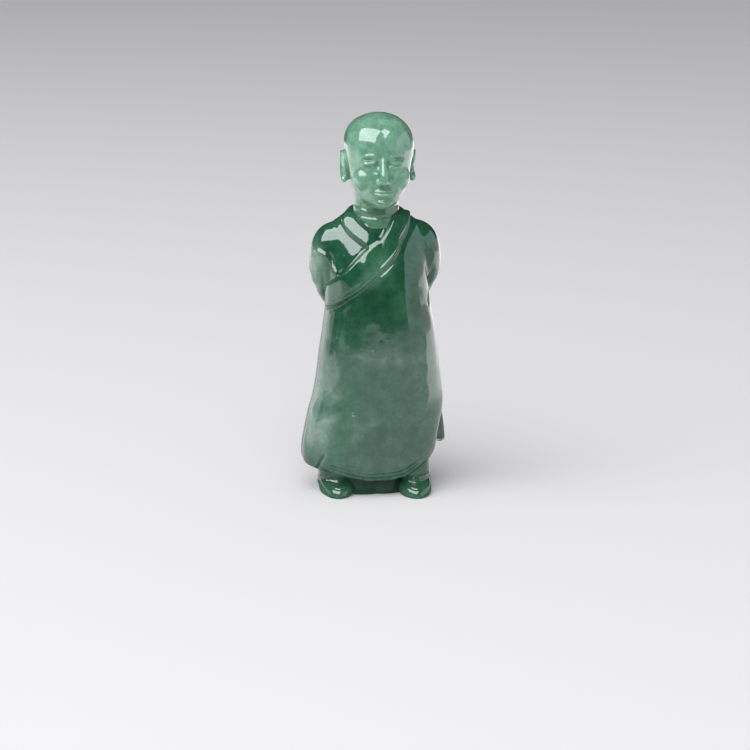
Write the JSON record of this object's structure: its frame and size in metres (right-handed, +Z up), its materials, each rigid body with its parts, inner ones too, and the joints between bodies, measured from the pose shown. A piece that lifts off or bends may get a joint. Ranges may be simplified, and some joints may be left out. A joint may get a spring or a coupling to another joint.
{
  "type": "jade figurine",
  "caption": "Small standing jade figure of a shaven-headed monk in a long crossed-collar robe, hands clasped behind the back, with a flat sole to stand on.",
  "frame": {"origin": "middle of the figure's bounding box, on the plane of its sole", "axes": "+Z up to the crown, -Y is the way the figure faces, -X is the figure's right hand"},
  "size_m": [0.0172, 0.0128, 0.0441],
  "materials": {
    "jade_pale": "hand-polished pale green jadeite, translucent at thin edges",
    "jade_deep": "hand-polished deep emerald jadeite",
    "jade_clouded": "hand-polished jadeite with pale milky clouds and green streaks"
  },
  "bodies": {
    "root": {"head": "jade_pale", "neck": "jade_pale", "clasped_hands": "jade_pale", "outer_collar": "jade_deep", "inner_collar": "jade_deep", "right_sleeve": "jade_deep", "left_sleeve": "jade_deep", "robe_front": "jade_clouded", "robe_back": "jade_clouded", "right_leg": "jade_deep", "left_leg": "jade_deep", "right_shoe": "jade_deep", "left_shoe": "jade_deep", "foot_bridge": "jade_deep"}
  },
  "joints": []
}
